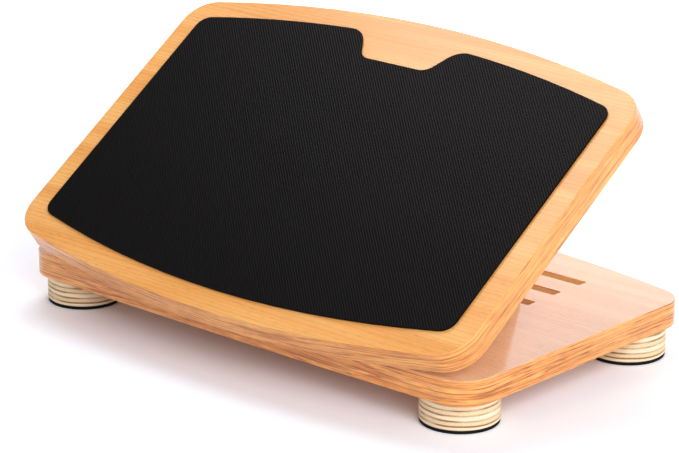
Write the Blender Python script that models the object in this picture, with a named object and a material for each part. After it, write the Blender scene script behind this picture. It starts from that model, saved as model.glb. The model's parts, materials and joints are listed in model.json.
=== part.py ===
"""Under-desk footrest: a tilting board hinged to a base board and held up by a swinging prop.

The base stands on four plywood feet with rubber pads. The tilting board is hinged along the
front edge of the base, and a prop panel hinged under it stands in one of three cross slots.
X is to the right, Y to the back and Z up, with the floor at Z = 0. Lengths are in metres.
The tilt is not a size of its own: it follows from the prop, its pivot and the slot it stands in.
"""
import math

import bmesh
import bpy
from mathutils import Matrix, Vector

MM = 0.001

# Clearances
SEAT_GAP = 0.3 * MM            # between two pieces that rest on each other
PIN_CLEARANCE = 0.2 * MM       # round a hinge pin, on the radius
KNUCKLE_GAP = 0.5 * MM         # between neighbouring knuckles of a hinge
SCREW_CLEARANCE = 0.3 * MM     # round a screw, on the radius
CUTTER_LEAD = 1.0 * MM         # how far a cutter stands out of the face it opens

# Boards
BOARD_WIDTH = 450 * MM
BOARD_THICKNESS = 19.6 * MM
EDGE_EASING = 1.1 * MM         # rounding along the boards' upper and lower edges
BASE_SIDE_DEPTH = 251 * MM     # between the ends of the front edge and those of the rear edge
BASE_FRONT_BOW = 2.8 * MM
BASE_REAR_BOW = 24.5 * MM
BASE_CORNER = 25.5 * MM
TOP_SIDE_DEPTH = 246 * MM
TOP_FRONT_BOW = 24.5 * MM
TOP_REAR_BOW = 26.5 * MM
TOP_FRONT_CORNER = 28 * MM
TOP_REAR_CORNER = 26 * MM

# Mat on the tilting board
MAT_THICKNESS = 1.5 * MM
MAT_SIDE_MARGIN = 19.2 * MM    # bare wood beside the mat
MAT_FRONT_MARGIN = 16.9 * MM   # bare wood at the side ends of the front edge
MAT_REAR_MARGIN = 15.2 * MM
MAT_BOW = 23.3 * MM
MAT_CORNER = 12 * MM
NOTCH_DEPTH = 26.9 * MM        # bay in the middle of the mat's rear edge
NOTCH_MOUTH = 96.4 * MM
NOTCH_FLOOR = 65.0 * MM
NOTCH_SHOULDER = 18 * MM       # rounding of the two outer corners of the bay
NOTCH_ROUND = 12 * MM          # and of the two inner ones

# Feet
FOOT_RADIUS = 28.9 * MM
FOOT_HEIGHT = 19.8 * MM
FOOT_EASING = 0.9 * MM
PAD_RADIUS = 28.6 * MM
PAD_THICKNESS = 2.0 * MM
PAD_EASING = 0.4 * MM
DISC_SEGMENTS = 44
FRONT_FOOT_INSET = (33.1 * MM, 31.6 * MM)  # foot centre from the side and the front edge's ends
REAR_FOOT_INSET = (28.9 * MM, 32.2 * MM)   # foot centre from the side and the rear edge's ends

# Slots across the base for the prop
SLOT_COUNT = 3
SLOT_PITCH = 30.5 * MM
SLOT_WIDTH = 9.8 * MM
SLOT_DEPTH = 6.3 * MM
SLOT_LENGTH = 300 * MM
SLOT_CORNER = 1.5 * MM
FIRST_SLOT_SETBACK = 163 * MM  # ends of the base's front edge to the middle of the first slot

# Prop
PROP_THICKNESS = 8 * MM
PROP_WIDTH = 275 * MM
PROP_LENGTH = 101.1 * MM       # hinge pin to the middle of the round nose
PROP_TOP_SETBACK = 1.5 * MM    # hinge pin to the prop's upper end
PROP_CORNER = 10 * MM
PROP_PIVOT_SETBACK = 160.4 * MM  # front hinge pin to prop hinge pin, along the board

# Butt hinges: two at the front edge, two smaller ones for the prop
ROLL_SEGMENTS = 13             # facets of a rolled knuckle
ROLL_ANGLE = math.radians(292)
PIN_SEGMENTS = 18
PIN_HEAD_LENGTH = 0.8 * MM     # how far a pin stands out at each end of its hinge

FRONT_HINGE_INSET = 75 * MM    # middle of a hinge from the board's side
FRONT_HINGE_LENGTH = 63 * MM
FRONT_HINGE_LEAF = 25 * MM     # pin to the leaf's outer edge
FRONT_HINGE_GAUGE = 1.5 * MM
FRONT_PIN_RADIUS = 1.6 * MM
FRONT_HINGE_KNUCKLES = 5
FRONT_HINGE_SCREWS = 3
FRONT_PIN_SETBACK = 1.7 * MM   # ends of the base's front edge to the pin
TOP_FRONT_OFFSET = 1.7 * MM    # pin to the ends of the board's front edge, along the board

PROP_HINGE_INSET = 42.5 * MM   # middle of a hinge from the prop's side
PROP_HINGE_LENGTH = 50 * MM
PROP_HINGE_LEAF = 19 * MM
PROP_HINGE_GAUGE = 1.2 * MM
PROP_PIN_RADIUS = 1.1 * MM
PROP_HINGE_KNUCKLES = 3
PROP_HINGE_SCREWS = 2

# Countersunk wood screws: head radius, shank radius, length, length of the point
SCREW_SEGMENTS = 12
BOARD_SCREW = (3.0 * MM, 1.4 * MM, 13 * MM, 2.5 * MM)
PROP_SCREW = (2.3 * MM, 1.0 * MM, 6.2 * MM, 1.2 * MM)
FOOT_SCREW = (4.0 * MM, 2.0 * MM, 26 * MM, 3.5 * MM)
FOOT_SCREW_RECESS = 5 * MM     # foot's underside to the screw's head

# Heights that follow from the sizes above
FOOT_BOTTOM = PAD_THICKNESS + SEAT_GAP
BASE_BOTTOM = FOOT_BOTTOM + FOOT_HEIGHT + SEAT_GAP
BASE_TOP = BASE_BOTTOM + BOARD_THICKNESS
NOSE_RADIUS = PROP_THICKNESS / 2
FRONT_BARREL = FRONT_PIN_RADIUS + PIN_CLEARANCE + FRONT_HINGE_GAUGE
PROP_BARREL = PROP_PIN_RADIUS + PIN_CLEARANCE + PROP_HINGE_GAUGE
FRONT_PIN_STANDOFF = FRONT_BARREL + SEAT_GAP   # pin axis to the wood on either side
PROP_PIN_STANDOFF = PROP_BARREL + SEAT_GAP
PROP_OFFSET = PROP_PIN_STANDOFF + NOSE_RADIUS  # prop pin to the middle of the panel
PIN_RISE = FRONT_PIN_STANDOFF - PROP_PIN_STANDOFF

# Places in the side plane, as distance behind the base's front and height
FRONT_PIN = Vector((FRONT_PIN_SETBACK, BASE_TOP + FRONT_PIN_STANDOFF))
NOSE = Vector((FIRST_SLOT_SETBACK + SLOT_WIDTH / 2 - SEAT_GAP - NOSE_RADIUS,
               BASE_TOP - SLOT_DEPTH + SEAT_GAP + NOSE_RADIUS))


def solve_linkage():
    """Tilt of the board and lean of the prop with its nose in the first slot.

    Front pin, prop pin and nose are a triangle of known sides, so the law of cosines gives
    the board's angle at the front pin. The two pins stand off the board by unlike amounts,
    and the prop's panel lies beside its pin, so each side of the triangle is a hypotenuse.
    """
    board_arm = math.hypot(PROP_PIVOT_SETBACK, PIN_RISE)
    prop_arm = math.hypot(PROP_LENGTH, PROP_OFFSET)
    ground = NOSE - FRONT_PIN
    reach = ground.length
    cosine = (board_arm ** 2 + reach ** 2 - prop_arm ** 2) / (2 * board_arm * reach)
    arm_angle = math.acos(cosine) + math.atan2(ground.y, ground.x)
    pivot = FRONT_PIN + board_arm * Vector((math.cos(arm_angle), math.sin(arm_angle)))
    to_nose = NOSE - pivot
    tilt = arm_angle - math.atan2(PIN_RISE, PROP_PIVOT_SETBACK)
    lean = math.atan2(to_nose.x, -to_nose.y) + math.atan2(PROP_OFFSET, PROP_LENGTH)
    return tilt, lean


TILT, LEAN = solve_linkage()


def foremost_point():
    """Distance behind the base's front of the tilted board's rounded upper front edge."""
    along = TOP_FRONT_OFFSET - TOP_FRONT_BOW + EDGE_EASING
    up = FRONT_PIN_STANDOFF + BOARD_THICKNESS - EDGE_EASING
    return FRONT_PIN.x + along * math.cos(TILT) - up * math.sin(TILT) - EDGE_EASING


# The scene's origin lies on the floor under the middle of the whole footrest at rest
MIDDLE = (foremost_point() + BASE_SIDE_DEPTH + BASE_REAR_BOW) / 2


def clear_scene():
    for item in list(bpy.data.objects):
        bpy.data.objects.remove(item, do_unlink=True)


def make_material(name, colour, roughness, metallic=0.0):
    material = bpy.data.materials.new(name)
    material.use_nodes = True
    shader = material.node_tree.nodes["Principled BSDF"]
    shader.inputs["Base Color"].default_value = (*colour, 1.0)
    shader.inputs["Roughness"].default_value = roughness
    shader.inputs["Metallic"].default_value = metallic
    material.diffuse_color = (*colour, 1.0)
    return material


def make_object(name, bm, material, parent, smooth_angle=35):
    """Object from a bmesh, with outward faces and smooth round surfaces."""
    bmesh.ops.recalc_face_normals(bm, faces=bm.faces[:])
    mesh = bpy.data.meshes.new(name)
    bm.to_mesh(mesh)
    bm.free()
    if material:
        mesh.materials.append(material)
    mesh.shade_smooth()
    mesh.set_sharp_from_angle(angle=math.radians(smooth_angle))
    item = bpy.data.objects.new(name, mesh)
    bpy.context.scene.collection.objects.link(item)
    item.parent = parent
    return item


def make_frame(name, location, angle=0.0, parent=None):
    """Empty that carries a body, with its X axis on the body's joint."""
    item = bpy.data.objects.new(name, None)
    item.location = location
    item.rotation_euler = (angle, 0, 0)
    item.empty_display_size = 20 * MM
    bpy.context.scene.collection.objects.link(item)
    item.parent = parent
    return item


def make_cutter(name, bm, parent):
    item = make_object(name, bm, None, parent)
    item.hide_render = True
    item.display_type = "WIRE"
    return item


def cut(item, cutter):
    modifier = item.modifiers.new("cut_by_" + cutter.name, "BOOLEAN")
    modifier.operation = "DIFFERENCE"
    modifier.solver = "EXACT"
    modifier.object = cutter


def ease_edges(item, width, segments=2):
    """Round the edges where two faces meet square."""
    modifier = item.modifiers.new("eased_edges", "BEVEL")
    modifier.width = width
    modifier.segments = segments
    modifier.limit_method = "ANGLE"
    modifier.angle_limit = math.radians(50)


def arc(centre, radius, start, end, steps):
    """Points on an arc from one angle to another, in radians."""
    return [(centre[0] + radius * math.cos(start + (end - start) * i / steps),
             centre[1] + radius * math.sin(start + (end - start) * i / steps))
            for i in range(steps + 1)]


def mirrored(points):
    """The same run of points on the other side of X = 0, in the opposite order."""
    return [(-x, y) for x, y in reversed(points)]


def fillet(before, corner, after, radius, steps=4):
    """Arc that rounds the corner between two straight runs."""
    corner = Vector(corner)
    back = (Vector(before) - corner).normalized()
    ahead = (Vector(after) - corner).normalized()
    half = math.acos(back.dot(ahead)) / 2
    centre = corner + (back + ahead).normalized() * radius / math.sin(half)
    first = corner + back * radius / math.tan(half) - centre
    last = corner + ahead * radius / math.tan(half) - centre
    start = math.atan2(first.y, first.x)
    sweep = math.remainder(math.atan2(last.y, last.x) - start, 2 * math.pi)
    return arc(centre, radius, start, start + sweep, steps)


def crown_circle(half_width, level, bow):
    """Radius and centre height of the arc through both side ends and the middle of an edge."""
    radius = (half_width ** 2 + bow ** 2) / (2 * bow)
    return radius, level + bow - radius


def bowed_edge(half_width, level, bow, corner, steps=14, corner_steps=6):
    """Rear edge of an outline from right to left, with its two rounded corners.

    The edge is an arc that meets the sides at level and stands out by bow in the middle.
    """
    radius, middle = crown_circle(half_width, level, bow)
    across = half_width - corner
    up = math.sqrt((radius - corner) ** 2 - across ** 2)
    turn = math.atan2(up, across)
    right = arc((across, middle + up), corner, 0, turn, corner_steps)
    crown = arc((0, middle), radius, turn, math.pi - turn, steps)
    return right + crown[1:-1] + mirrored(right)


def turned_about(points):
    """The same points turned half round, so that a rear edge becomes a front edge."""
    return [(-x, -y) for x, y in points]


def board_outline(width, front, rear, front_bow, rear_bow, corners):
    """Counter-clockwise outline of a board with bowed ends, from its front and rear corner radii."""
    back = bowed_edge(width / 2, rear, rear_bow, corners[1])
    ahead = turned_about(bowed_edge(width / 2, -front, front_bow, corners[0]))
    return back + ahead


def mat_outline():
    """Outline of the mat, with the bay in the middle of its rear edge."""
    front = TOP_FRONT_OFFSET + MAT_FRONT_MARGIN
    rear = TOP_FRONT_OFFSET + TOP_SIDE_DEPTH - MAT_REAR_MARGIN
    half = BOARD_WIDTH / 2 - MAT_SIDE_MARGIN
    radius, middle = crown_circle(half, rear, MAT_BOW)
    whole = bowed_edge(half, rear, MAT_BOW, MAT_CORNER, steps=20)
    right = [point for point in whole if point[0] > NOTCH_MOUTH / 2 + NOTCH_SHOULDER]
    mouth = (NOTCH_MOUTH / 2, middle + math.sqrt(radius ** 2 - (NOTCH_MOUTH / 2) ** 2))
    floor = (NOTCH_FLOOR / 2, rear + MAT_BOW - NOTCH_DEPTH)
    path = [right[-1], mouth, floor] + mirrored([right[-1], mouth, floor])
    bay = []
    rounds = (NOTCH_SHOULDER, NOTCH_ROUND, NOTCH_ROUND, NOTCH_SHOULDER)
    for before, corner, after, radius in zip(path, path[1:], path[2:], rounds):
        bay += fillet(before, corner, after, radius, 5)
    ahead = turned_about(bowed_edge(half, -front, MAT_BOW, MAT_CORNER))
    return right + bay + mirrored(right) + ahead


def prism(outline, bottom, top):
    """Solid between two heights over an outline."""
    bm = bmesh.new()
    face = bm.faces.new([bm.verts.new((x, y, bottom)) for x, y in outline])
    sides = bmesh.ops.extrude_face_region(bm, geom=[face])
    raised = [v for v in sides["geom"] if isinstance(v, bmesh.types.BMVert)]
    bmesh.ops.translate(bm, verts=raised, vec=(0, 0, top - bottom))
    bmesh.ops.recalc_face_normals(bm, faces=bm.faces[:])
    return bm


def turned(profile, segments):
    """Solid of revolution about Z; the profile runs from the axis below to the axis above."""
    bm = bmesh.new()
    rings = []
    for radius, height in profile:
        count = segments if radius else 1
        rings.append([bm.verts.new((x, y, height))
                      for x, y in arc((0, 0), radius, 0, 2 * math.pi, count)[:count]])
    for low, high in zip(rings, rings[1:]):
        for i in range(segments):
            j = (i + 1) % segments
            corners = [low[i % len(low)], low[j % len(low)],
                       high[j % len(high)], high[i % len(high)]]
            bm.faces.new(list(dict.fromkeys(corners)))
    return bm


def merged(parts):
    """One bmesh from several, each placed by its own matrix."""
    whole = bmesh.new()
    for bm, matrix in parts:
        bm.transform(matrix)
        piece = bpy.data.meshes.new("piece")
        bm.to_mesh(piece)
        bm.free()
        whole.from_mesh(piece)
        bpy.data.meshes.remove(piece)
    return whole


def eased_disc(radius, height, easing):
    """Disc from Z = 0 upwards with chamfered rims."""
    profile = [(0, 0), (radius - easing, 0), (radius, easing),
               (radius, height - easing), (radius - easing, height), (0, height)]
    return turned(profile, DISC_SEGMENTS)


def screw_solid(screw):
    """Countersunk screw whose flat head lies at Z = 0, pointing down."""
    head, shank, length, point = screw
    sink = head - shank
    profile = [(0, -length), (shank, point - length), (shank, -sink), (head, 0), (0, 0)]
    return turned(profile, SCREW_SEGMENTS)


def screw_hole(screw, lead=CUTTER_LEAD):
    """Cutter for a countersunk screw with its head at Z = 0, open above by lead."""
    head, shank, length, _ = screw
    wide = head + SCREW_CLEARANCE
    narrow = shank + SCREW_CLEARANCE
    depth = length + SCREW_CLEARANCE
    profile = [(0, -depth), (narrow, -depth), (narrow, narrow - wide), (wide, 0),
               (wide, lead), (0, lead)]
    return turned(profile, SCREW_SEGMENTS)


def knuckle_spans(length, count):
    """Ends of each knuckle along the hinge, from left to right."""
    pitch = length / count
    edge = length / 2
    spans = []
    for i in range(count):
        start = -edge + i * pitch + (KNUCKLE_GAP / 2 if i > 0 else 0)
        end = -edge + (i + 1) * pitch - (KNUCKLE_GAP / 2 if i < count - 1 else 0)
        spans.append((start, end))
    return spans


def leaf_solid(length, reach, gauge, barrel, count, first):
    """Hinge leaf below its pin: a comb-shaped plate whose tabs are rolled round the X axis.

    The plate runs back to Y = reach. Every second knuckle, counted from first, belongs to
    this leaf, and the plate is cut back where the other leaf's knuckles turn.
    """
    edge = length / 2
    notch = barrel + KNUCKLE_GAP
    comb = [(edge, reach), (-edge, reach)]
    if first > 0:
        comb.append((-edge, notch))
    for start, end in knuckle_spans(length, count)[first::2]:
        comb += [(start, notch)] if start > -edge else []
        comb += [(start, 0), (end, 0)]
        comb += [(end, notch)] if end < edge else []
    if comb[-1][0] < edge:
        comb.append((edge, notch))
    bm = prism(comb, -barrel, gauge - barrel)
    tabs = [face for face in bm.faces
            if face.normal.y < -0.9 and face.calc_center_median().y < notch / 2]
    step = Matrix.Rotation(-ROLL_ANGLE / ROLL_SEGMENTS, 3, "X")
    for face in tabs:
        for _ in range(ROLL_SEGMENTS):
            face = bmesh.ops.extrude_discrete_faces(bm, faces=[face])["faces"][0]
            bmesh.ops.rotate(bm, verts=face.verts[:], cent=(0, 0, 0), matrix=step)
    return bm


def hinge_pin(length, radius):
    """Pin along X with domed ends."""
    half = length / 2 + PIN_HEAD_LENGTH
    dome = radius / 3
    profile = [(0, -half), (radius - dome, -half), (radius, dome - half),
               (radius, half - dome), (radius - dome, half), (0, half)]
    bm = turned(profile, PIN_SEGMENTS)
    bm.transform(Matrix.Rotation(math.pi / 2, 4, "Y"))
    return bm


def screw_places(length, reach, barrel, count):
    """Screw places on a leaf, as X and Y from the pin; a middle one is set further out."""
    width = reach - barrel
    span = length * 0.7
    places = []
    for i in range(count):
        outer = i in (0, count - 1)
        places.append((-span / 2 + span * i / (count - 1), barrel + width * (0.45 if outer else 0.65)))
    return places


def slot_cutters():
    """The slots as rounded bars that reach above the base board."""
    half = SLOT_LENGTH / 2
    parts = []
    for i in range(SLOT_COUNT):
        middle = FIRST_SLOT_SETBACK + i * SLOT_PITCH
        square = [(half, SLOT_WIDTH / 2), (-half, SLOT_WIDTH / 2),
                  (-half, -SLOT_WIDTH / 2), (half, -SLOT_WIDTH / 2)]
        outline = []
        for j, corner in enumerate(square):
            outline += fillet(square[j - 1], corner, square[(j + 1) % len(square)], SLOT_CORNER, 3)
        bar = prism(outline, BASE_TOP - SLOT_DEPTH, BASE_TOP + CUTTER_LEAD)
        parts.append((bar, Matrix.Translation((0, middle, 0))))
    return merged(parts)


def prop_solid():
    """Prop panel below its pin, with a full-round nose that fades out at the side corners."""
    levels = 8
    half = PROP_WIDTH / 2
    corner_depth = PROP_LENGTH + NOSE_RADIUS - PROP_CORNER
    bm = bmesh.new()
    loops = []
    for i in range(levels + 1):
        angle = math.pi * i / levels
        y = -PROP_OFFSET - NOSE_RADIUS * math.cos(angle)
        drop = PROP_LENGTH + NOSE_RADIUS * math.sin(angle) - corner_depth
        quarter = arc((0, 0), 1, 0, math.pi / 2, 6)
        right = [(half - PROP_CORNER + PROP_CORNER * x, -corner_depth - drop * z)
                 for x, z in quarter]
        outline = [(-half, -PROP_TOP_SETBACK), (half, -PROP_TOP_SETBACK)] + right + mirrored(right)
        loops.append([bm.verts.new((x, y, z)) for x, z in outline])
    for low, high in zip(loops, loops[1:]):
        for j in range(len(low)):
            bm.faces.new([low[j - 1], low[j], high[j], high[j - 1]])
    bm.faces.new(loops[0])
    bm.faces.new(loops[-1])
    return bm


def add_foot(name, x, y, parent, ply, rubber, holes):
    """Plywood disc under the base with its rubber pad."""
    disc = make_object("foot_" + name, eased_disc(FOOT_RADIUS, FOOT_HEIGHT, FOOT_EASING),
                       ply, parent)
    disc.location = (x, y, FOOT_BOTTOM)
    cut(disc, holes)
    pad = make_object("pad_" + name, eased_disc(PAD_RADIUS, PAD_THICKNESS, PAD_EASING),
                      rubber, parent)
    pad.location = (x, y, 0)


def add_screws(name, places, screw, material, parent, lead=CUTTER_LEAD):
    """Numbered screws that share one mesh, and the cutter for all their holes."""
    first = make_object(name + "_1", screw_solid(screw), material, parent)
    first.matrix_basis = places[0]
    for number, place in enumerate(places[1:], 2):
        item = bpy.data.objects.new(f"{name}_{number}", first.data)
        bpy.context.scene.collection.objects.link(item)
        item.parent = parent
        item.matrix_basis = place
    holes = merged([(screw_hole(screw, lead), place) for place in places])
    return make_cutter(name + "_holes", holes, parent)


def leaf_screws(sides, hinge, matrix):
    """Head places for the screws of two leaves, carried from the leaf's frame by matrix."""
    length, reach, gauge, barrel, count = hinge
    return [matrix @ Matrix.Translation((side + x, y, gauge - barrel))
            for side in sides for x, y in screw_places(length, reach, barrel, count)]


def main():
    clear_scene()
    beech = make_material("beech_board", (0.80, 0.50, 0.24), 0.35)
    panel = make_material("beech_prop", (0.70, 0.36, 0.15), 0.4)
    ply = make_material("birch_ply", (0.80, 0.66, 0.45), 0.6)
    mat = make_material("ribbed_rubber", (0.015, 0.015, 0.016), 0.75)
    rubber = make_material("pad_rubber", (0.02, 0.02, 0.02), 0.85)
    plated = make_material("hinge_steel", (0.62, 0.62, 0.60), 0.3, 1.0)
    steel = make_material("screw_steel", (0.55, 0.54, 0.50), 0.35, 1.0)

    base = make_frame("base_frame", (0, -MIDDLE, 0))
    board = make_frame("board_joint", (0, FRONT_PIN.x, FRONT_PIN.y), TILT, base)
    prop = make_frame("prop_joint", (0, PROP_PIVOT_SETBACK, PIN_RISE), LEAN - TILT, board)
    upside_down = Matrix.Rotation(math.pi, 4, "X")
    under = Matrix.Rotation(math.pi, 4, "Y")
    at_pin = Matrix.Translation((0, FRONT_PIN.x, FRONT_PIN.y))
    at_prop_pin = Matrix.Translation((0, PROP_PIVOT_SETBACK, PIN_RISE))
    down_prop = Matrix.Rotation(-math.pi / 2, 4, "X")
    front_x = BOARD_WIDTH / 2 - FRONT_HINGE_INSET
    front_sides = (("left", -front_x), ("right", front_x))
    prop_x = PROP_WIDTH / 2 - PROP_HINGE_INSET
    prop_sides = (("left", -prop_x), ("right", prop_x))

    # Base board
    outline = board_outline(BOARD_WIDTH, 0, BASE_SIDE_DEPTH, BASE_FRONT_BOW, BASE_REAR_BOW,
                            (BASE_CORNER, BASE_CORNER))
    base_board = make_object("base_board", prism(outline, BASE_BOTTOM, BASE_TOP), beech, base)
    ease_edges(base_board, EDGE_EASING)
    cut(base_board, make_cutter("slots", slot_cutters(), base))

    # Feet
    front_x, rear_x = (BOARD_WIDTH / 2 - inset[0] for inset in (FRONT_FOOT_INSET, REAR_FOOT_INSET))
    front_y, rear_y = FRONT_FOOT_INSET[1], BASE_SIDE_DEPTH - REAR_FOOT_INSET[1]
    feet = (("front_left", -front_x, front_y), ("front_right", front_x, front_y),
            ("rear_left", -rear_x, rear_y), ("rear_right", rear_x, rear_y))
    heads = [Matrix.Translation((x, y, FOOT_BOTTOM + FOOT_SCREW_RECESS)) @ upside_down
             for _, x, y in feet]
    lead = FOOT_SCREW_RECESS + CUTTER_LEAD
    foot_holes = add_screws("foot_screw", heads, FOOT_SCREW, steel, base, lead)
    cut(base_board, foot_holes)
    for name, x, y in feet:
        add_foot(name, x, y, base, ply, rubber, foot_holes)

    # Tilting board and mat
    outline = board_outline(BOARD_WIDTH, TOP_FRONT_OFFSET, TOP_FRONT_OFFSET + TOP_SIDE_DEPTH,
                            TOP_FRONT_BOW, TOP_REAR_BOW, (TOP_FRONT_CORNER, TOP_REAR_CORNER))
    top_face = FRONT_PIN_STANDOFF + BOARD_THICKNESS
    tilt_board = make_object("tilt_board", prism(outline, FRONT_PIN_STANDOFF, top_face),
                             beech, board)
    ease_edges(tilt_board, EDGE_EASING)
    mat_bottom = top_face + SEAT_GAP
    make_object("grip_mat", prism(mat_outline(), mat_bottom, mat_bottom + MAT_THICKNESS),
                mat, board)

    # Front hinges
    hinge = (FRONT_HINGE_LENGTH, FRONT_HINGE_LEAF, FRONT_HINGE_GAUGE, FRONT_BARREL,
             FRONT_HINGE_KNUCKLES)
    screw_hinge = hinge[:4] + (FRONT_HINGE_SCREWS,)
    sides = [side for _, side in front_sides]
    places = leaf_screws(sides, screw_hinge, at_pin)
    base_holes = add_screws("base_hinge_screw", places, BOARD_SCREW, steel, base)
    cut(base_board, base_holes)
    places = leaf_screws(sides, screw_hinge, under)
    board_holes = add_screws("board_hinge_screw", places, BOARD_SCREW, steel, board)
    cut(tilt_board, board_holes)
    for name, side in front_sides:
        place = Matrix.Translation((side, 0, 0))
        leaf = merged([(leaf_solid(*hinge, 0), at_pin @ place)])
        cut(make_object("base_hinge_leaf_" + name, leaf, plated, base), base_holes)
        leaf = merged([(leaf_solid(*hinge, 1), place @ under)])
        cut(make_object("board_hinge_leaf_" + name, leaf, plated, board), board_holes)
        pin = merged([(hinge_pin(FRONT_HINGE_LENGTH, FRONT_PIN_RADIUS), at_pin @ place)])
        make_object("base_hinge_pin_" + name, pin, steel, base)

    # Prop and its hinges
    prop_panel = make_object("prop_panel", prop_solid(), panel, prop)
    hinge = (PROP_HINGE_LENGTH, PROP_HINGE_LEAF, PROP_HINGE_GAUGE, PROP_BARREL,
             PROP_HINGE_KNUCKLES)
    screw_hinge = hinge[:4] + (PROP_HINGE_SCREWS,)
    sides = [side for _, side in prop_sides]
    above = at_prop_pin @ under
    places = leaf_screws(sides, screw_hinge, above)
    above_holes = add_screws("prop_hinge_board_screw", places, PROP_SCREW, steel, board)
    cut(tilt_board, above_holes)
    places = leaf_screws(sides, screw_hinge, down_prop)
    prop_holes = add_screws("prop_screw", places, PROP_SCREW, steel, prop)
    cut(prop_panel, prop_holes)
    for name, side in prop_sides:
        place = Matrix.Translation((side, 0, 0))
        leaf = merged([(leaf_solid(*hinge, 0), place @ above)])
        cut(make_object("prop_hinge_board_leaf_" + name, leaf, plated, board), above_holes)
        leaf = merged([(leaf_solid(*hinge, 1), place @ down_prop)])
        cut(make_object("prop_leaf_" + name, leaf, plated, prop), prop_holes)
        pin = merged([(hinge_pin(PROP_HINGE_LENGTH, PROP_PIN_RADIUS), at_prop_pin @ place)])
        make_object("prop_hinge_pin_" + name, pin, steel, board)

    bpy.context.view_layer.update()


main()
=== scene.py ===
# %% [markdown]
# # A tilting wooden footrest
# This script dresses a packed, jointed model of a footrest: two veneered boards hinged along
# their front edges, a prop that holds the upper one up, a ribbed rubber mat and four plywood
# feet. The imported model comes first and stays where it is. Each later cell makes one finish or
# one piece, and says what the real one is and why it is made that way. Blender's unit here is
# the metre, and MM turns millimetres into it.

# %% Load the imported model
import json
import math

import bmesh
import bpy
from mathutils import Matrix, Vector


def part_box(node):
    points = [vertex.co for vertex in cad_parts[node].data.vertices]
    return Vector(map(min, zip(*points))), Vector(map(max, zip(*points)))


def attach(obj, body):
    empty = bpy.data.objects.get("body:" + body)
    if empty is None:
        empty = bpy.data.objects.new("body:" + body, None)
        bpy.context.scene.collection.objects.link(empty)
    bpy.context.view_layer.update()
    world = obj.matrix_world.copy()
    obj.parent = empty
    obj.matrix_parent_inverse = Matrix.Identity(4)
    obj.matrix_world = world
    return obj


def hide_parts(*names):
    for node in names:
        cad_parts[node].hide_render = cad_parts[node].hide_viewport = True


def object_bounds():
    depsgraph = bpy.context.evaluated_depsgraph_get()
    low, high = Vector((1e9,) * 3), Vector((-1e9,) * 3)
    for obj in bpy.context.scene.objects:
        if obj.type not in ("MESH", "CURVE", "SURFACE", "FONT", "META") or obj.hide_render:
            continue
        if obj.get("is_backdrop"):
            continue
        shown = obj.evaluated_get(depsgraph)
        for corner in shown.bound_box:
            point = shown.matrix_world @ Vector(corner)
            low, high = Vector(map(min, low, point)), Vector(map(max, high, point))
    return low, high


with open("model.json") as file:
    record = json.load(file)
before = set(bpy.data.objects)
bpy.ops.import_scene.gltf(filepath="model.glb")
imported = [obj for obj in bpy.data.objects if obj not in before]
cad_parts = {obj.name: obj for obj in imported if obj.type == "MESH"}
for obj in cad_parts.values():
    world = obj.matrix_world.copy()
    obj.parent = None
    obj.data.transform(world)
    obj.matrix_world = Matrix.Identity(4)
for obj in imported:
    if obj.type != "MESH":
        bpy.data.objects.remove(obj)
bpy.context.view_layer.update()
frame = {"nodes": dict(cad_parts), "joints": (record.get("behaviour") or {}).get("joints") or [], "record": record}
MM = 0.001

# %% [markdown]
# ## Camera
# The picture was taken from the front right and a little above, with a long lens, so the boards'
# parallel edges hardly converge. A camera could be turned by eye until the picture looks right.
# This one was fitted to the outlines of the boards instead, so that what still differs in the
# render is the object's and not the camera's. The lens is stated for Blender's default sensor,
# which is 36 mm wide.

# %% Place the camera
CAMERA_PLACE = (1.4239, -1.5658, 0.7602)
CAMERA_AZIMUTH = math.radians(42.39)
CAMERA_ELEVATION = math.radians(17.85)
LENS = 155.83
camera_data = bpy.data.cameras.new("camera")
camera_data.lens = LENS
camera_data.clip_start = 50 * MM
camera = bpy.data.objects.new("camera", camera_data)
camera.location = CAMERA_PLACE
camera.rotation_euler = (math.pi / 2 - CAMERA_ELEVATION, 0, CAMERA_AZIMUTH)
bpy.context.scene.collection.objects.link(camera)
bpy.context.scene.camera = camera
bpy.context.scene.view_settings.view_transform = "Standard"
print("camera", round(camera.location.length, 2), "m away with a lens of", LENS, "mm")

# %% [markdown]
# ## Colours and nodes
# Colours are written as sRGB hex, the way a picture shows them. Blender's nodes work in linear
# light, so one function turns the one into the other. A second one adds a shader node with its
# settings and links, which keeps the materials below short enough to read. A third starts a
# material with the piece's own coordinates. Patterns that are placed by these need no
# unwrapping, keep their real size and move with the piece.


# %% Three helpers for materials
def linear(hex_colour):
    """Linear RGBA from an sRGB colour such as "#F0AE6A"."""
    parts = [int(hex_colour[i:i + 2], 16) / 255 for i in (1, 3, 5)]
    return (*[c / 12.92 if c <= 0.04045 else ((c + 0.055) / 1.055) ** 2.4 for c in parts], 1.0)


def add_node(tree, kind, inputs=None, stops=None, **settings):
    """Add a node. Inputs are values or the sockets that feed them, stops are a ramp's colours."""
    node = tree.nodes.new("ShaderNode" + kind)
    for name, value in settings.items():
        setattr(node, name, value)
    for name, value in (inputs or {}).items():
        if isinstance(value, bpy.types.NodeSocket):
            tree.links.new(value, node.inputs[name])
        else:
            node.inputs[name].default_value = value
    for number, (place, colour) in enumerate(stops or []):
        ramp = node.color_ramp.elements
        stop = ramp[number] if number < len(ramp) else ramp.new(place)
        stop.position = place
        stop.color = colour
    return node


def new_material(name):
    """A material with its node tree, its Principled shader and the piece's own coordinates."""
    material = bpy.data.materials.new(name)
    material.use_nodes = True
    tree = material.node_tree
    place = add_node(tree, "TexCoord").outputs["Object"]
    return material, tree, tree.nodes["Principled BSDF"], place


WHITE = (1, 1, 1, 1)
print("half bright #808080 is", round(linear("#808080")[0], 3), "in linear light")

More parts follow.
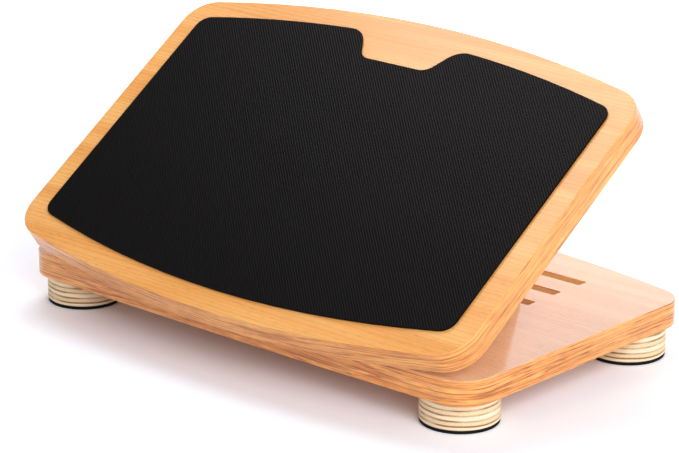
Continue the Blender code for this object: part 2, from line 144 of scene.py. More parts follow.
# %% [markdown]
# ## Axes that follow the boards
# Grain, veneer lines and ribs run along a board and through its thickness, whatever its slope.
# Each board therefore gets axes of its own, with X across, Y along its slope and Z through its
# thickness, from its lower face up. The slopes could be typed in, but they are measured on the
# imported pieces, so the patterns would still fit if the footrest were packed at another tilt.


# %% Axes of the two boards and the prop
def face_slope(node):
    """Slope of a node's largest flat face, in radians, from front to back."""
    face = max(frame["nodes"][node].data.polygons, key=lambda item: item.area)
    normal = face.normal if face.normal.z > 0 else -face.normal
    return math.atan2(-normal.y, normal.z)


def own_axes(node, slope, origin):
    """Matrix of axes at a slope, with Z = 0 at the node's lowest point and Y = 0 at origin."""
    turn = Matrix.Translation(origin) @ Matrix.Rotation(slope, 4, "X")
    back = turn.inverted()
    lowest = min((back @ vertex.co).z for vertex in frame["nodes"][node].data.vertices)
    return turn @ Matrix.Translation((0, 0, lowest))


joints = {joint["name"]: joint for joint in frame["joints"]}
FRONT_PIN = Vector(joints["board_tilt"]["pos_m"])
PROP_PIN = Vector(joints["prop_swing"]["pos_m"])
TILT = face_slope("grip_mat")
LEAN = face_slope("prop_panel") + math.pi / 2
base_axes = own_axes("base_board", 0.0, FRONT_PIN)
board_axes = own_axes("tilt_board", TILT, FRONT_PIN)
prop_axes = Matrix.Translation(PROP_PIN) @ Matrix.Rotation(LEAN, 4, "X")
base_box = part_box("base_board")
BOARD_THICKNESS = base_box[1].z - base_box[0].z
print("tilt", round(math.degrees(TILT), 2), "lean", round(math.degrees(LEAN), 2),
      "board", round(BOARD_THICKNESS / MM, 1), "mm thick")

# %% [markdown]
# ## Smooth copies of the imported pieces
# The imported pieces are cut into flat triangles, so a round foot would show its facets. Modelling
# the pieces anew could look as good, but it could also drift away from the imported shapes. So each
# piece is copied into its own axes, its triangles are joined into whole faces again, and its
# normals are weighted by area. Flat faces then stay flat and only the rounded edges are shaded
# round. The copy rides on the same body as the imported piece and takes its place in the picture.


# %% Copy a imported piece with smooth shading
SAME_PLACE = 0.002 * MM
SAME_PLANE = math.radians(0.5)


def smooth_copy(name, node, body, material, axes, soften=0.0, angle=40):
    """Piece with the node's form, whole faces, an optional softened edge and weighted normals."""
    mesh = frame["nodes"][node].data.copy()
    mesh.transform(axes.inverted())
    mesh.materials.clear()
    mesh.materials.append(material)
    bm = bmesh.new()
    bm.from_mesh(mesh)
    bmesh.ops.remove_doubles(bm, verts=bm.verts, dist=SAME_PLACE)
    bmesh.ops.dissolve_limit(bm, angle_limit=SAME_PLANE, verts=bm.verts, edges=bm.edges)
    bmesh.ops.recalc_face_normals(bm, faces=bm.faces)
    bm.to_mesh(mesh)
    bm.free()
    if mesh.attributes.get("custom_normal"):
        mesh.attributes.remove(mesh.attributes["custom_normal"])
    mesh.shade_smooth()
    mesh.set_sharp_from_angle(angle=math.radians(angle))
    piece = bpy.data.objects.new(name, mesh)
    bpy.context.scene.collection.objects.link(piece)
    piece.matrix_world = axes
    if soften:
        bevel = piece.modifiers.new("softened_edges", "BEVEL")
        bevel.width = soften
        bevel.segments = 2
        bevel.limit_method = "ANGLE"
        bevel.angle_limit = math.radians(angle)
    piece.modifiers.new("weighted_normals", "WEIGHTED_NORMAL").keep_sharp = not soften
    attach(piece, body)
    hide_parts(node)
    print(name, "has", len(mesh.polygons), "faces")
    return piece


# %% [markdown]
# ## Face veneer
# The boards are sheet material with a thin slice of beech on every face. Sliced veneer shows its
# growth rings as long, faint lines along the board, here about 3.4 mm apart. A wave with a saw
# profile gives each ring its slow darkening and its sharp end, and its distortion lets the lines
# drift and part. Noise stretched along the board would be simpler, but it has no sharp ends.
# Short darker flecks lie between the rings, which tell beech from other pale woods, and broad
# patches are a little lighter or darker. The scale of a pattern is its number of cells in a
# metre, so 1400 stands for cells of 0.7 mm.

# %% Rings, flecks and patches of sliced beech
RING_SPACING = 3.4 * MM


def veneer_face(tree, place, colours, ring_depth):
    """Colour of a veneered face, and the noise that draws its flecks."""
    light, main, dark = [linear(colour) for colour in colours]
    # Patches of tone, 330 mm long and 18 mm wide.
    patch = add_node(tree, "Mapping", {"Vector": place, "Scale": (3, 55, 20)})
    patch = add_node(tree, "TexNoise", {"Vector": patch.outputs["Vector"], "Scale": 1.0,
                                        "Detail": 2.0, "Distortion": 0.4})
    tone = add_node(tree, "ValToRGB", {"Fac": patch.outputs["Fac"]},
                    stops=[(0.38, dark), (0.5, main), (0.62, light)])
    # Blender's wave repeats every 0.1 * pi units of its coordinates.
    ring_scale = 0.1 * math.pi / RING_SPACING
    rings = add_node(tree, "Mapping", {"Vector": place, "Scale": (4, ring_scale, 20)})
    rings = add_node(tree, "TexWave", {"Vector": rings.outputs["Vector"], "Scale": 1.0,
                                       "Distortion": 11.0, "Detail": 3.0, "Detail Scale": 0.7,
                                       "Detail Roughness": 0.45},
                     wave_type="BANDS", bands_direction="Y", wave_profile="SAW")
    late_wood = (1 - ring_depth, 1 - 1.5 * ring_depth, 1 - 2 * ring_depth, 1)
    rings = add_node(tree, "ValToRGB", {"Fac": rings.outputs["Fac"]},
                     stops=[(0.0, WHITE), (0.55, WHITE), (0.93, late_wood), (1.0, WHITE)])
    ringed = add_node(tree, "Mix", {"Factor": 1.0, "A": tone.outputs["Color"],
                                    "B": rings.outputs["Color"]},
                      data_type="RGBA", blend_type="MULTIPLY")
    # Flecks 7 mm long and 0.7 mm wide.
    flecks = add_node(tree, "Mapping", {"Vector": place, "Scale": (140, 1400, 500)})
    flecks = add_node(tree, "TexNoise", {"Vector": flecks.outputs["Vector"], "Scale": 1.0,
                                         "Detail": 1.0})
    spots = add_node(tree, "MapRange", {"Value": flecks.outputs["Fac"], "From Min": 0.55,
                                        "From Max": 0.75, "To Min": 1.0,
                                        "To Max": 1 - 1.5 * ring_depth})
    colour = add_node(tree, "VectorMath", {0: ringed.outputs["Result"],
                                           "Scale": spots.outputs[0]}, operation="SCALE")
    return colour.outputs[0], flecks.outputs["Fac"]


print("rings of the face veneer", round(RING_SPACING / MM, 1), "mm apart")

# %% [markdown]
# ## Edge band
# A band of beech is glued round each board's edge. It was cut along the rings, so it shows fewer
# lines than a face and less even ones. Its colour follows noise that is long round the board and
# 3 mm short through the thickness, and the ramp draws a thin dark line wherever the noise passes
# one of two values. A slow drift lets the lines run a little aslant, as they do in a band that
# wasn't cut quite straight. Two sharper lines near the middle run the band's whole length. The
# lines could be modelled as grooves, but on the real band they are only colour under lacquer.

# %% Lines and pores of the edge band
DRIFT = 14 * MM
MEAN_DRIFT = 0.5 * DRIFT


def banded_edge(tree, place, colours):
    """Colour of the band round a board's edge."""
    light, main, dark = [linear(colour) for colour in colours]
    drift = add_node(tree, "TexNoise", {"Vector": place, "Scale": 4.0, "Detail": 0.0})
    drift = add_node(tree, "VectorMath", {0: drift.outputs["Color"], 1: (0, 0, DRIFT)},
                     operation="MULTIPLY")
    drift = add_node(tree, "VectorMath", {0: place, 1: drift.outputs[0]}, operation="ADD")
    # Lines 140 mm long and 3 mm apart.
    band = add_node(tree, "Mapping", {"Vector": drift.outputs[0], "Scale": (7, 7, 300)})
    band = add_node(tree, "TexNoise", {"Vector": band.outputs["Vector"], "Scale": 1.0,
                                       "Detail": 2.0, "Roughness": 0.45})
    edge = add_node(tree, "ValToRGB", {"Fac": band.outputs["Fac"]},
                    stops=[(0.3, light), (0.43, main), (0.462, dark), (0.49, main),
                           (0.55, light), (0.6, main), (0.622, dark), (0.65, main)])
    # Pores 9 mm long and 1 mm high.
    fibres = add_node(tree, "Mapping", {"Vector": drift.outputs[0], "Scale": (110, 110, 1000)})
    fibres = add_node(tree, "TexNoise", {"Vector": fibres.outputs["Vector"], "Scale": 1.0,
                                         "Detail": 2.0})
    pores = add_node(tree, "MapRange", {"Value": fibres.outputs["Fac"], "From Min": 0.3,
                                        "From Max": 0.7, "To Min": 1.12, "To Max": 0.76})
    edge = add_node(tree, "VectorMath", {0: edge.outputs["Color"], "Scale": pores.outputs[0]},
                    operation="SCALE")
    # Two long lines, at 39 and 58 percent of the thickness, each fainter in places.
    level = add_node(tree, "SeparateXYZ", {"Vector": drift.outputs[0]}).outputs["Z"]
    level = add_node(tree, "MapRange", {"Value": level, "From Min": MEAN_DRIFT,
                                        "From Max": MEAN_DRIFT + BOARD_THICKNESS})
    seams = add_node(tree, "ValToRGB", {"Fac": level.outputs[0]},
                     stops=[(0.36, WHITE), (0.39, (0.66, 0.52, 0.4, 1)), (0.43, WHITE),
                            (0.54, WHITE), (0.58, (0.55, 0.4, 0.3, 1)), (0.61, WHITE)])
    faint = add_node(tree, "MapRange", {"Value": band.outputs["Fac"], "From Min": 0.35,
                                        "From Max": 0.6, "To Min": 0.3, "To Max": 0.9})
    edge = add_node(tree, "Mix", {"Factor": faint.outputs[0], "A": edge.outputs[0],
                                  "B": seams.outputs["Color"]},
                    data_type="RGBA", blend_type="MULTIPLY")
    return edge.outputs["Result"]


print("lines of the edge band drift within", round(DRIFT / MM), "mm")

# %% [markdown]
# ## Upper board
# Both patterns meet in one material under a satin lacquer, which gives soft highlights. The
# shader tells a face from the edge by its normal in the board's own axes, where Z is its
# thickness. Two materials, one for the faces and one for the edge, would part at a hard line on
# the rounded arris, where the real veneer is sanded into the band.


# %% Satin-lacquered beech, and the upper board
def beech_veneer(name, face_colours, edge_colours, ring_depth, roughness, seed):
    """Lacquered beech: the material, its tree, shader and coordinates, and its colour."""
    material, tree, shader, own = new_material(name)
    shifted = add_node(tree, "Mapping", {"Vector": own, "Location": (seed, seed * 0.7, 0)})
    place = shifted.outputs["Vector"]
    face, flecks = veneer_face(tree, place, face_colours, ring_depth)
    edge = banded_edge(tree, place, edge_colours)
    normal = add_node(tree, "TexCoord").outputs["Normal"]
    upright = add_node(tree, "SeparateXYZ", {"Vector": normal}).outputs["Z"]
    upright = add_node(tree, "Math", {0: upright}, operation="ABSOLUTE")
    flat = add_node(tree, "MapRange", {"Value": upright.outputs[0], "From Min": 0.55,
                                       "From Max": 0.8})
    colour = add_node(tree, "Mix", {"Factor": flat.outputs[0], "A": edge, "B": face},
                      data_type="RGBA")
    tree.links.new(colour.outputs["Result"], shader.inputs["Base Color"])
    bump = add_node(tree, "Bump", {"Height": flecks, "Strength": 0.1, "Distance": 0.05 * MM})
    tree.links.new(bump.outputs["Normal"], shader.inputs["Normal"])
    shader.inputs["Roughness"].default_value = roughness
    shader.inputs["IOR"].default_value = 1.5
    return material, tree, shader, own, colour.outputs["Result"]


beech_upper = beech_veneer("satin_lacquered_beech_upper", ("#FBBB68", "#F8B05C", "#F2A751"),
                           ("#FAB866", "#F09E4E", "#BE6E34"), ring_depth=0.12,
                           roughness=0.25, seed=0.0)[0]
tilt_board = smooth_copy("upper_board", "tilt_board", "board", beech_upper, board_axes)

# %% [markdown]
# ## Prop
# The prop is a narrow panel of the same sheet that stands on edge in its slot, with a fainter
# figure. Its thickness runs along another axis than a board's, so its copy gets axes that are
# turned by a quarter, and the one material function serves it too.

# %% Prop panel
beech_prop = beech_veneer("satin_lacquered_beech_prop", ("#F4BE88", "#F0B47C", "#E8A86E"),
                          ("#F2A656", "#E69444", "#B4652E"), ring_depth=0.07,
                          roughness=0.25, seed=0.8)[0]
prop_panel = smooth_copy("prop_panel_veneered", "prop_panel", "prop", beech_prop,
                         prop_axes @ Matrix.Rotation(math.pi / 2, 4, "X"))

# %% [markdown]
# ## Slotted base
# The base has a paler, pinker veneer than the upper board and a shinier coat. Its slots were
# milled after the edges were banded, so their walls show the bare core, which is brown board
# without rings. The shader knows them by their place: inside the box round the slots, below the
# veneer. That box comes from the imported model's own openings. The underside has the plain,
# deeper coloured sheet of a balancing veneer, and it warms the light under the base.


# %% The base's finish, with the brown core in its slots
def slotted_beech():
    """Lacquered beech, with bare core inside the slots and a deeper colour below."""
    material, tree, shader, own, veneer = beech_veneer(
        "satin_lacquered_beech_base", ("#F9D4A9", "#F7CFA4", "#F3C89D"),
        ("#F9B464", "#EF9B4C", "#AA5C28"), ring_depth=0.12, roughness=0.13, seed=0.35)
    slots = [box["box_m"] for box in frame["record"]["physics"]["openings"]]
    low = base_axes.inverted() @ Vector(slots[0][0])
    high = base_axes.inverted() @ Vector(slots[-1][1])
    middle = (low + high) / 2
    reach = high - middle + Vector((2, 2, 0)) * MM
    reach.z = 0.45 * BOARD_THICKNESS
    middle.z = 0.5 * BOARD_THICKNESS
    print("bare core inside a box of", [round(2 * side / MM) for side in reach], "mm")
    # Each axis gives the distance from the box's middle, as a share of its reach.
    offset = add_node(tree, "VectorMath", {0: own, 1: middle}, operation="SUBTRACT")
    offset = add_node(tree, "VectorMath", {0: offset.outputs[0]}, operation="ABSOLUTE")
    offset = add_node(tree, "VectorMath", {0: offset.outputs[0], 1: reach}, operation="DIVIDE")
    offset = add_node(tree, "SeparateXYZ", {"Vector": offset.outputs[0]})
    far = add_node(tree, "Math", {0: offset.outputs["X"], 1: offset.outputs["Y"]},
                   operation="MAXIMUM")
    far = add_node(tree, "Math", {0: far.outputs[0], 1: offset.outputs["Z"]},
                   operation="MAXIMUM")
    inside = add_node(tree, "Math", {0: far.outputs[0], 1: 1.0}, operation="LESS_THAN")
    # Pressed fibres, 0.7 mm long.
    fibres = add_node(tree, "TexNoise", {"Vector": own, "Scale": 1500.0, "Detail": 2.0})
    core = add_node(tree, "ValToRGB", {"Fac": fibres.outputs["Fac"]},
                    stops=[(0.35, linear("#D3AC74")), (0.65, linear("#E6C591"))])
    colour = add_node(tree, "Mix", {"Factor": inside.outputs[0], "A": veneer,
                                    "B": core.outputs["Color"]}, data_type="RGBA")
    downward = add_node(tree, "TexCoord").outputs["Normal"]
    downward = add_node(tree, "SeparateXYZ", {"Vector": downward}).outputs["Z"]
    downward = add_node(tree, "Math", {0: downward, 1: -0.7}, operation="LESS_THAN")
    colour = add_node(tree, "Mix", {"Factor": downward.outputs[0],
                                    "A": colour.outputs["Result"], "B": linear("#E8A070")},
                      data_type="RGBA")
    tree.links.new(colour.outputs["Result"], shader.inputs["Base Color"])
    return material


base_board = smooth_copy("base_board_veneered", "base_board", "base", slotted_beech(), base_axes)

# %% [markdown]
# ## Ribs of the mat
# The mat is a sheet of black rubber, rolled hot against an engraved drum. Two sets of fine ribs
# cross at 45 degrees to the board and leave small diamonds, 2 mm apart. Ribs this fine would
# need some hundred thousand faces, so the shader raises them. Each set is a sine wave along one
# diagonal. One stands about three times as high as the other, and each of its ribs is a little
# worn in places.

# %% Relief of the crossed ribs
RIB_SPACING = 1.97 * MM


def crossed_ribs(tree, place):
    """Height of the ribs, from about -1 in a valley to about 1 on a top."""
    across = add_node(tree, "SeparateXYZ", {"Vector": place})
    turn = 2 * math.pi / (RIB_SPACING * math.sqrt(2))
    waves = []
    for kind in ("ADD", "SUBTRACT"):
        slant = add_node(tree, "Math", {0: across.outputs["X"], 1: across.outputs["Y"]},
                         operation=kind)
        slant = add_node(tree, "Math", {0: slant.outputs[0], 1: turn}, operation="MULTIPLY")
        waves.append(add_node(tree, "Math", {0: slant.outputs[0]}, operation="SINE"))
    # Worn spots 1.7 mm wide.
    worn = add_node(tree, "TexNoise", {"Vector": place, "Scale": 600.0, "Detail": 1.0})
    worn = add_node(tree, "MapRange", {"Value": worn.outputs["Fac"], "From Min": 0.3,
                                       "From Max": 0.7, "To Min": 0.45, "To Max": 1.35})
    high_set = add_node(tree, "Math", {0: waves[0].outputs[0], 1: worn.outputs[0]},
                        operation="MULTIPLY")
    relief = add_node(tree, "Math", {0: waves[1].outputs[0], 1: 0.3, 2: high_set.outputs[0]},
                      operation="MULTIPLY_ADD")
    return relief.outputs[0]


print("ribs", round(RIB_SPACING / MM, 2), "mm apart")

# %% [markdown]
# ## Ribbed rubber mat
# The rubber is nearly black. Its colour is darker in the valleys and a little paler on the tops
# of the ribs, which paints shade into the valleys. The tops are rubbed smooth and catch the
# light, while the valleys are rough, so the ribs show best where a lamp is mirrored. Broad
# clouds of wear lie over both. The specular level is low, because a bumped surface mirrors more
# of a bright room than real ribs do, which hide it from one another. The rim was cut with a
# knife and is smooth, and it is rounded by real geometry.


# %% Rolled black rubber, and the mat
def ribbed_rubber():
    """Black rubber whose colour, height and roughness follow the ribs."""
    material, tree, shader, place = new_material("rolled_black_rubber")
    relief = crossed_ribs(tree, place)
    # Clouds of wear, 30 mm wide.
    cloud = add_node(tree, "TexNoise", {"Vector": place, "Scale": 35.0, "Detail": 3.0})
    # Painted shade: the colour darkens into the valleys of the ribs and pales on their tops.
    tone = add_node(tree, "MapRange", {"Value": relief, "From Min": -1.0, "From Max": 1.0,
                                       "To Min": 0.0008, "To Max": 0.0028})
    tone = add_node(tree, "Math", {0: cloud.outputs["Fac"], 1: 0.001, 2: tone.outputs[0]},
                    operation="MULTIPLY_ADD")
    colour = add_node(tree, "VectorMath", {0: (1.1, 0.95, 0.85), "Scale": tone.outputs[0]},
                      operation="SCALE")
    tree.links.new(colour.outputs[0], shader.inputs["Base Color"])
    bump = add_node(tree, "Bump", {"Height": relief, "Strength": 0.5, "Distance": 0.12 * MM})
    tree.links.new(bump.outputs["Normal"], shader.inputs["Normal"])
    rough = add_node(tree, "MapRange", {"Value": relief, "From Min": -1.0, "From Max": 1.0,
                                        "To Min": 0.65, "To Max": 0.15})
    tree.links.new(rough.outputs[0], shader.inputs["Roughness"])
    shader.inputs["IOR"].default_value = 1.5
    shader.inputs["Specular IOR Level"].default_value = 0.055
    shader.inputs["Specular Tint"].default_value = linear("#FFEEDC")
    return material


rubber_mat = smooth_copy("rubber_mat", "grip_mat", "board", ribbed_rubber(), board_axes,
                         soften=0.4 * MM, angle=60)

# %% [markdown]
# ## Plywood feet
# The feet are discs turned from birch plywood, with five plies, each about 4 mm thick. They
# alternate between long grain, which is smooth and pale, and end grain, which is rougher and a
# little darker. Brown glue lines part them. They waver as the plies were pressed, and the glue
# has soaked farther into the wood in some places than in others. Sanding leaves the glue lines
# a little lower. Five separate rings would give straighter lines and five times the faces.


# %% Birch plywood seen from its edge
def glue_lines(tree, place, height, plies):
    """Count of plies up to a point, and how much of it is glue, from 0 to 1."""
    level = add_node(tree, "SeparateXYZ", {"Vector": place}).outputs["Z"]
    # The lines waver by up to 1.4 mm over 20 mm.
    waver = add_node(tree, "TexNoise", {"Vector": place, "Scale": 45.0, "Detail": 1.0})
    level = add_node(tree, "Math", {0: waver.outputs["Fac"], 1: 1.4 * MM, 2: level},
                     operation="MULTIPLY_ADD")
    count = add_node(tree, "Math", {0: level.outputs[0], 1: plies / height},
                     operation="MULTIPLY")
    part = add_node(tree, "Math", {0: count.outputs[0]}, operation="FRACT")
    away = add_node(tree, "Math", {0: part.outputs[0], 1: 0.5}, operation="SUBTRACT")
    away = add_node(tree, "Math", {0: away.outputs[0]}, operation="ABSOLUTE")
    glue = add_node(tree, "MapRange", {"Value": away.outputs[0], "From Min": 0.22,
                                       "From Max": 0.46})
    # Soaked stretches, 20 mm long and 6 mm high.
    soaked = add_node(tree, "Mapping", {"Vector": place, "Scale": (50, 50, 160)})
    soaked = add_node(tree, "TexNoise", {"Vector": soaked.outputs["Vector"], "Scale": 1.0})
    soaked = add_node(tree, "MapRange", {"Value": soaked.outputs["Fac"], "From Min": 0.35,
                                         "From Max": 0.6, "To Min": 0.3})
    glue = add_node(tree, "Math", {0: glue.outputs[0], 1: soaked.outputs[0]},
                    operation="MULTIPLY")
    return count.outputs[0], glue.outputs[0]


def birch_ply(height, plies=5):
    """Plies of birch in turn along and across the grain, parted by glue."""
    material, tree, shader, place = new_material("birch_plywood")
    count, glue = glue_lines(tree, place, height, plies)
    half = add_node(tree, "Math", {0: count, 1: 0.5}, operation="MULTIPLY")
    half = add_node(tree, "Math", {0: half.outputs[0]}, operation="FRACT")
    long_grain = add_node(tree, "Math", {0: half.outputs[0], 1: 0.5}, operation="LESS_THAN")
    # End grain in dots of 1 mm, long grain in streaks 17 mm long and 0.7 mm high.
    speckle = add_node(tree, "TexNoise", {"Vector": place, "Scale": 900.0, "Detail": 2.0})
    streak = add_node(tree, "Mapping", {"Vector": place, "Scale": (60, 60, 1400)})
    streak = add_node(tree, "TexNoise", {"Vector": streak.outputs["Vector"], "Scale": 1.0})
    fibre = add_node(tree, "ValToRGB", {"Fac": streak.outputs["Fac"]},
                     stops=[(0.35, linear("#F5DBB0")), (0.65, linear("#FBE8C4"))])
    pores = add_node(tree, "ValToRGB", {"Fac": speckle.outputs["Fac"]},
                     stops=[(0.35, linear("#E8C894")), (0.65, linear("#F4DAAC"))])
    wood = add_node(tree, "Mix", {"Factor": long_grain.outputs[0], "A": pores.outputs["Color"],
                                  "B": fibre.outputs["Color"]}, data_type="RGBA")
    colour = add_node(tree, "Mix", {"Factor": glue, "A": wood.outputs["Result"],
                                    "B": linear("#8C602E")}, data_type="RGBA")
    tree.links.new(colour.outputs["Result"], shader.inputs["Base Color"])
    relief = add_node(tree, "Math", {0: glue, 1: -1.0, 2: long_grain.outputs[0]},
                      operation="MULTIPLY_ADD")
    bump = add_node(tree, "Bump", {"Height": relief.outputs[0], "Strength": 0.7,
                                   "Distance": 0.4 * MM})
    tree.links.new(bump.outputs["Normal"], shader.inputs["Normal"])
    shader.inputs["Roughness"].default_value = 0.6
    return material


foot_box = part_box("foot_front_left")
ply = birch_ply(foot_box[1].z - foot_box[0].z)
print("five plies in", round((foot_box[1].z - foot_box[0].z) / MM, 1), "mm")

# %% [markdown]
# ## Rubber pads
# Each foot stands on a thin moulded disc of black rubber that keeps it from sliding. Moulded
# rubber is dull, so its roughness is high and its specular level low, and dust leaves it a very
# dark, uneven grey. A plain black would look like a hole under the foot.


# %% Moulded rubber, and the feet on their pads
def pad_rubber():
    """Dull black rubber with a little dust."""
    material, tree, shader, place = new_material("moulded_black_rubber")
    # Dust in patches 8 mm wide.
    dust = add_node(tree, "TexNoise", {"Vector": place, "Scale": 120.0, "Detail": 3.0})
    colour = add_node(tree, "ValToRGB", {"Fac": dust.outputs["Fac"]},
                      stops=[(0.35, linear("#070707")), (0.7, linear("#121110"))])
    tree.links.new(colour.outputs["Color"], shader.inputs["Base Color"])
    shader.inputs["Roughness"].default_value = 0.75
    shader.inputs["Specular IOR Level"].default_value = 0.15
    return material


black_rubber = pad_rubber()
for corner in ("front_left", "front_right", "rear_left", "rear_right"):
    low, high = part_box("foot_" + corner)
    middle = (low + high) / 2
    axes = Matrix.Translation((middle.x, middle.y, low.z))
    smooth_copy("ply_foot_" + corner, "foot_" + corner, "base", ply, axes)
    axes = Matrix.Translation((middle.x, middle.y, 0))
    smooth_copy("rubber_pad_" + corner, "pad_" + corner, "base", black_rubber, axes)

# %% [markdown]
# ## Butt hinges
# The hinges are stamped from zinc-plated sheet steel and rolled round their pins. Zinc plate is
# a bright, slightly bluish metal with a faint mottle from the bath. The mottle, 4 mm wide, moves
# both its colour and its roughness, since a mottle of colour alone looks painted on.


# %% Zinc-plated steel, hinge leaves and pins
def zinc_plate(name, roughness, colour_dark, colour_light):
    """Plated steel with a faint mottle in its colour and its roughness."""
    material, tree, shader, place = new_material(name)
    mottle = add_node(tree, "TexNoise", {"Vector": place, "Scale": 260.0, "Detail": 4.0})
    colour = add_node(tree, "ValToRGB", {"Fac": mottle.outputs["Fac"]},
                      stops=[(0.3, linear(colour_dark)), (0.7, linear(colour_light))])
    rough = add_node(tree, "MapRange", {"Value": mottle.outputs["Fac"], "From Min": 0.3,
                                        "From Max": 0.7, "To Min": roughness,
                                        "To Max": roughness + 0.12})
    tree.links.new(colour.outputs["Color"], shader.inputs["Base Color"])
    tree.links.new(rough.outputs[0], shader.inputs["Roughness"])
    shader.inputs["Metallic"].default_value = 1.0
    return material


zinc_leaf = zinc_plate("zinc_plated_sheet_steel", 0.28, "#B4B6B8", "#D2D3D3")
zinc_screw = zinc_plate("zinc_plated_screw_steel", 0.3, "#A8A9AA", "#C8C8C6")
HINGES = {"base_hinge_leaf": ("base", base_axes), "board_hinge_leaf": ("board", board_axes),
          "prop_hinge_board_leaf": ("board", board_axes), "prop_leaf": ("prop", prop_axes)}
for stem, (body, axes) in HINGES.items():
    for side in ("left", "right"):
        smooth_copy(f"zinc_{stem}_{side}", f"{stem}_{side}", body, zinc_leaf, axes,
                    angle=35)
for stem, body in (("base_hinge_pin", "base"), ("prop_hinge_pin", "board")):
    for side in ("left", "right"):
        smooth_copy(f"steel_{stem}_{side}", f"{stem}_{side}", body, zinc_screw,
                    Matrix.Identity(4), angle=30)

# %% [markdown]
# ## Countersunk screws
# The leaves and the feet are held by wood screws with a cross recess, which a driver's tip
# fills. The recess is about as wide as the head's radius and tapers towards its floor. It is cut
# with a boolean into each copied head, at its largest flat face, so it is a real hollow and not
# a dark cross on a flat head. The result is kept as a plain mesh, and the cutter is removed.


# %% Screws with a cross recess
def cross_recess(screw):
    """Cut a tapered cross into the screw's largest flat face."""
    head = max(screw.data.polygons, key=lambda item: item.area)
    radius = max((screw.data.vertices[v].co - head.center).length for v in head.vertices)
    long, short, depth, taper = 0.6 * radius, 0.16 * radius, 0.45 * radius, 0.6
    half = [(long, short), (short, short), (short, long), (-short, long), (-short, short),
            (-long, short)]
    outline = half + [(-x, -y) for x, y in half]
    corners = [(x, y, depth) for x, y in outline]
    corners += [(taper * x, taper * y, -depth) for x, y in outline]
    walls = [(i, i + 12, (i + 1) % 12 + 12, (i + 1) % 12) for i in range(12)]
    mesh = bpy.data.meshes.new("cross")
    mesh.from_pydata(corners, [], walls + [tuple(range(12)), tuple(range(23, 11, -1))])
    cutter = bpy.data.objects.new("cross", mesh)
    bpy.context.scene.collection.objects.link(cutter)
    turn = head.normal.to_track_quat("Z", "Y").to_matrix().to_4x4()
    cutter.matrix_world = screw.matrix_world @ Matrix.Translation(head.center) @ turn
    cut = screw.modifiers.new("cross", "BOOLEAN")
    cut.object, cut.solver = cutter, "EXACT"
    screw.modifiers["weighted_normals"].show_viewport = False
    done = screw.evaluated_get(bpy.context.evaluated_depsgraph_get())
    screw.data = bpy.data.meshes.new_from_object(done)
    screw.modifiers.remove(cut)
    screw.modifiers["weighted_normals"].show_viewport = True
    screw.data.shade_smooth()
    screw.data.set_sharp_from_angle(angle=math.radians(30))
    bpy.data.objects.remove(cutter)
    return len(screw.data.polygons)


SCREWS = {"base_hinge_screw": ("base", 6), "board_hinge_screw": ("board", 6),
          "prop_hinge_board_screw": ("board", 4), "prop_screw": ("prop", 4),
          "foot_screw": ("base", 4)}
for stem, (body, count) in SCREWS.items():
    for number in range(1, count + 1):
        screw = smooth_copy(f"steel_{stem}_{number}", f"{stem}_{number}", body, zinc_screw,
                            Matrix.Identity(4), angle=30)
        print(screw.name, "with its recess has", cross_recess(screw), "faces")

# %% [markdown]
# ## Floor
# The footrest stands on a matt white sweep. The camera sees it a little whiter than the light
# that it throws back on the wood, and whiter still farther out, where the lamps fade, so the
# picture ends in plain white and the soft shadow stays. More light on the floor would whiten it
# too, but it would bleach the wood as well.


# %% White floor
def white_floor():
    """Matt white that the camera sees whiter than the wood does."""
    material, tree, shader, place = new_material("matt_white_sweep")
    path = add_node(tree, "LightPath")
    seen = add_node(tree, "Math", {0: path.outputs["Is Camera Ray"],
                                   1: path.outputs["Is Glossy Ray"]}, operation="MAXIMUM")
    seen = add_node(tree, "Math", {0: seen.outputs[0],
                                   1: path.outputs["Is Transmission Ray"]}, operation="MAXIMUM")
    # From 0.45 m away from the middle to 2.5 m, the floor is seen up to 3.5 times as white.
    away = add_node(tree, "VectorMath", {0: place}, operation="LENGTH")
    away = add_node(tree, "MapRange", {"Value": away.outputs["Value"], "From Min": 0.45,
                                       "From Max": 2.5, "To Min": 1.0, "To Max": 3.5})
    white = add_node(tree, "VectorMath", {0: (1.1, 1.14, 1.14), "Scale": away.outputs[0]},
                     operation="SCALE")
    colour = add_node(tree, "Mix", {"Factor": seen.outputs[0], "A": linear("#F2F2F2"),
                                    "B": white.outputs[0]}, data_type="RGBA")
    tree.links.new(colour.outputs["Result"], shader.inputs["Base Color"])
    shader.inputs["Roughness"].default_value = 0.9
    shader.inputs["Specular IOR Level"].default_value = 0.1
    return material


FLOOR_REACH = 12.0
floor_mesh = bpy.data.meshes.new("floor")
floor_mesh.from_pydata([(-FLOOR_REACH, -FLOOR_REACH, 0), (FLOOR_REACH, -FLOOR_REACH, 0),
                        (FLOOR_REACH, FLOOR_REACH, 0), (-FLOOR_REACH, FLOOR_REACH, 0)],
                       [], [(0, 1, 2, 3)])
floor_mesh.materials.append(white_floor())
floor = bpy.data.objects.new("floor", floor_mesh)
floor.location.z = -0.1 * MM
bpy.context.scene.collection.objects.link(floor)
floor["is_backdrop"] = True
print("floor", 2 * FLOOR_REACH, "m wide")

# %% [markdown]
# ## Room
# The sweep stands in a dim room. It is bright behind the footrest and near the floor, while the
# ceiling and the side where the camera stands are darker. So the tilted board mirrors a dark
# ceiling and stays rich in colour, and the flat base mirrors a bright wall and looks glossy. A
# picture of a real room would do this too. A slope of brightness along one direction does it
# without a picture, and the camera itself sees plain white all round.

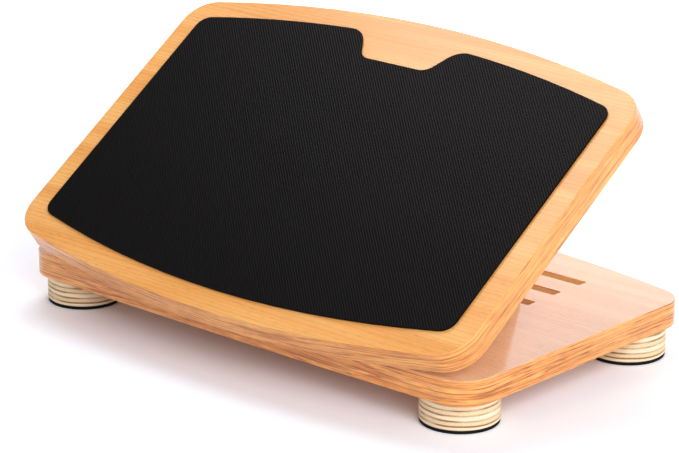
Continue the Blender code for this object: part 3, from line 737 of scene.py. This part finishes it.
# %% Light of the room
DAYLIGHT = (0.98, 0.98, 1.07, 1)
BRIGHT_WAY = (0.05, 0.27, -0.8)
DIM, BRIGHT = 0.28, 1.32
world = bpy.data.worlds.new("white_sweep_in_a_dim_room")
world.use_nodes = True
room = world.node_tree
way = add_node(room, "TexCoord").outputs["Generated"]
toward = add_node(room, "VectorMath", {0: way, 1: BRIGHT_WAY}, operation="DOT_PRODUCT")
glow = add_node(room, "MapRange", {"Value": toward.outputs["Value"], "From Min": -0.65,
                                   "From Max": 0.1, "To Min": DIM, "To Max": BRIGHT})
path = add_node(room, "LightPath")
strength = add_node(room, "Mix", {"Factor": path.outputs["Is Camera Ray"],
                                  "A": glow.outputs[0], "B": 1.0})
tint = add_node(room, "Mix", {"Factor": path.outputs["Is Camera Ray"], "A": DAYLIGHT,
                              "B": WHITE}, data_type="RGBA")
room.links.new(tint.outputs["Result"], room.nodes["Background"].inputs["Color"])
room.links.new(strength.outputs[0], room.nodes["Background"].inputs["Strength"])
bpy.context.scene.world = world
print("room from", DIM, "to", BRIGHT, "times white")

# %% [markdown]
# ## Lamps
# A large soft lamp from the right and front is the main light. It shapes the edges, reaches in
# under the board and throws the broad soft shadow to the left. A round one hangs above on the
# left, where the right and rear parts of the tilted board mirror it towards the camera, which
# gives the lacquer and the ribs of the mat their sheen there. A small one beside it does the
# same, faintly, for the rear left rim. A weak wash from behind lifts the floor and the base's
# rear. Lamps with an area are used because points would draw hard shadows.


# %% Soft lamps
def soft_lamp(name, shape, place, aim, size, power):
    """Area lamp that faces a point. Sizes are in metres and the power is in watts."""
    data = bpy.data.lights.new(name, "AREA")
    data.shape = shape
    data.size = size
    data.energy = power
    data.color = DAYLIGHT[:3]
    lamp = bpy.data.objects.new(name, data)
    lamp.location = place
    lamp.rotation_euler = (Vector(aim) - Vector(place)).to_track_quat("-Z", "Y").to_euler()
    bpy.context.scene.collection.objects.link(lamp)
    print(name, size, "m wide,", power, "W")


soft_lamp("key_right_front", "SQUARE", (1.7, -0.85, 1.1), (0, 0, 0.1), 1.3, 30.5)
soft_lamp("sheen_above_left", "DISK", (-0.42, 0.24, 1.15), (0, 0, 0.15), 0.8, 6.0)
soft_lamp("sheen_behind_left", "DISK", (-1.02, 0.3, 1.15), (-0.15, 0.1, 0.2), 0.4, 0.5)
soft_lamp("wash_behind", "SQUARE", (-1.2, 2.6, 1.6), (-0.3, 0.9, 0), 1.5, 2.5)

# %% [markdown]
# ## The dressed model's box
# The box round the dressed model is printed. The dressed model may not grow past the
# imported one.

# %% Print the dressed model's box
bpy.context.view_layer.update()
low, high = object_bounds()
print("visual box", [round(v, 4) for v in low], [round(v, 4) for v in high])
